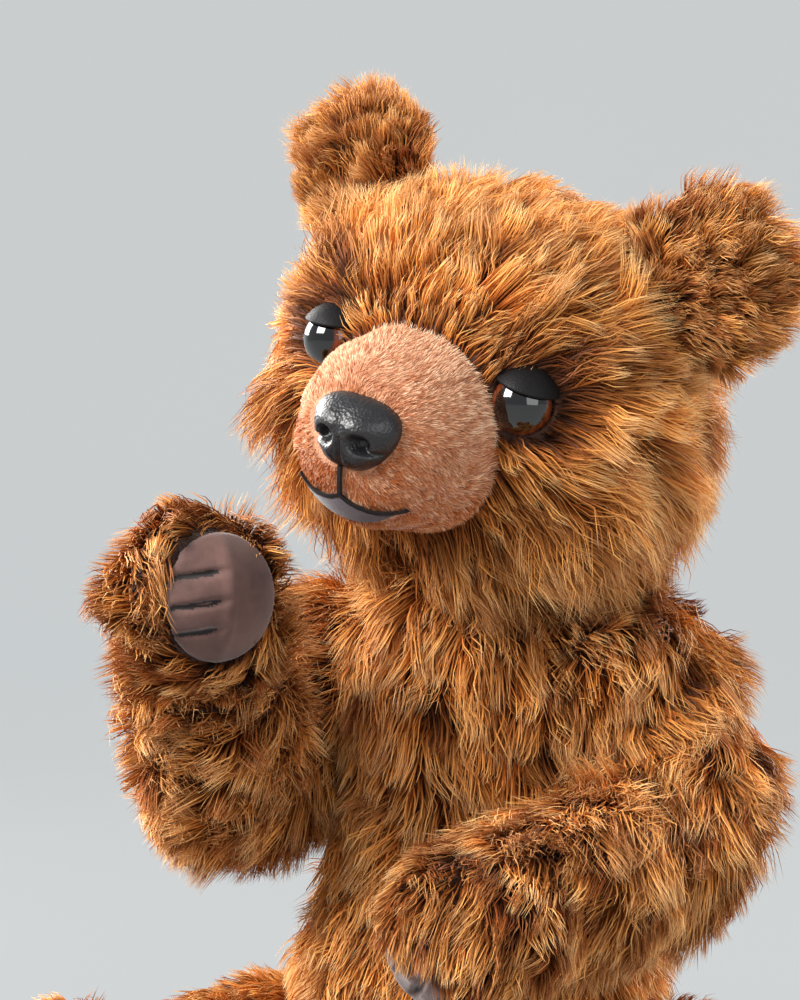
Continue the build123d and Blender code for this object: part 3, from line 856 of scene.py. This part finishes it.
steel = grained("zinc_plate", srgb(150, 152, 156), srgb(190, 192, 196), 500.0, 0.38, 1.0)
hardboard = grained("hardboard", srgb(104, 74, 46), srgb(142, 106, 70), 900.0, 0.85)
nylon = grained("nylon", srgb(214, 214, 208), srgb(236, 236, 230), 400.0, 0.5)
cotton = grained("plain_cotton", srgb(66, 40, 22), srgb(96, 62, 36), 1500.0, 0.9)
thread = grained("waxed_thread", srgb(10, 9, 10), srgb(26, 24, 26), 2500.0, 0.6)
by_slot = {
    "plated_steel": steel, "hardboard": hardboard, "washer_plastic": nylon, "neck_cloth": cotton,
    "black_thread": thread, "lip_suede": lip_material, "stuffing": cotton,
}
slot_of = {part["node"]: part["material_slot"] for part in frame["record"]["subparts"]}
for node, piece in nodes.items():
    if slot_of[node] in by_slot:
        material = by_slot[slot_of[node]]
        if piece.data.materials:
            for slot in piece.material_slots:
                slot.material = material
        else:
            piece.data.materials.append(material)

# ---------------------------------------------------------------- backdrop and light
cove_points, cove_faces = [], []
COVE_RADIUS, COVE_NEAR, COVE_HALF = 0.9, 1.4, 3.0
cove_line = [(-COVE_NEAR, 0.0), (COVE_RADIUS * 1.2, 0.0)]
for turn in range(0, 91, 6):
    swing = math.radians(turn)
    reach = COVE_RADIUS * (1.2 + math.sin(swing))
    cove_line.append((reach, COVE_RADIUS * (1 - math.cos(swing))))
cove_line.append((COVE_RADIUS * 2.2, 3.0))
for reach, height in cove_line:
    for side in (-COVE_HALF, COVE_HALF):
        place = sight_right * side - sight_back * reach
        cove_points.append((place.x, place.y, height))
for row in range(len(cove_line) - 1):
    cove_faces.append((2 * row, 2 * row + 1, 2 * row + 3, 2 * row + 2))
cove_shader = Shader("pale_paper")
cove_colour = cove_shader.ramp(
    cove_shader.noise(1.5, 2.0), [(0.3, srgb(38, 39, 40)), (0.7, srgb(42, 42, 42))])
cove_glow = cove_shader.ramp(
    cove_shader.noise(1.2, 2.0), [(0.3, srgb(202, 207, 209)), (0.7, srgb(206, 208, 208))])
cove_material = cove_shader.finish(
    Base_Color=cove_colour, Roughness=1.0, Specular_IOR_Level=0.0,
    Emission_Color=cove_glow, Emission_Strength=0.95)
cove = mesh_object("backdrop", cove_points, cove_faces, cove_material)
shade_smooth(cove.data)


def soft_light(name, side, back, height, size, energy, colour=(1, 1, 1)):
    """A square soft box at a place given along the line of sight, aimed at the bear's chest."""
    data = bpy.data.lights.new(name, "AREA")
    data.size = size
    data.energy = energy
    data.color = colour
    lamp = bpy.data.objects.new(name, data)
    lamp.location = sight_right * side + sight_back * back + Vector((0, 0, height))
    aim = Vector((0, 0, 0.2)) - lamp.location
    lamp.rotation_euler = aim.to_track_quat("-Z", "Y").to_euler()
    scene.collection.objects.link(lamp)


soft_light("window", -0.75, 0.5, 0.75, 0.5, 21, (1.0, 0.98, 0.95))
soft_light("window_back", -0.6, -0.45, 0.6, 0.5, 14, (1.0, 0.97, 0.93))
soft_light("rim_right", 0.65, -0.45, 0.6, 0.5, 14, (1.0, 0.97, 0.93))
soft_light("fill", 0.7, 1.2, 0.5, 1.0, 7)
world = bpy.data.worlds.new("studio")
world.use_nodes = True
world.node_tree.nodes["Background"].inputs[0].default_value = (0.83, 0.88, 0.92, 1)
world.node_tree.nodes["Background"].inputs[1].default_value = 0.45
scene.world = world
scene.view_settings.view_transform = "Standard"
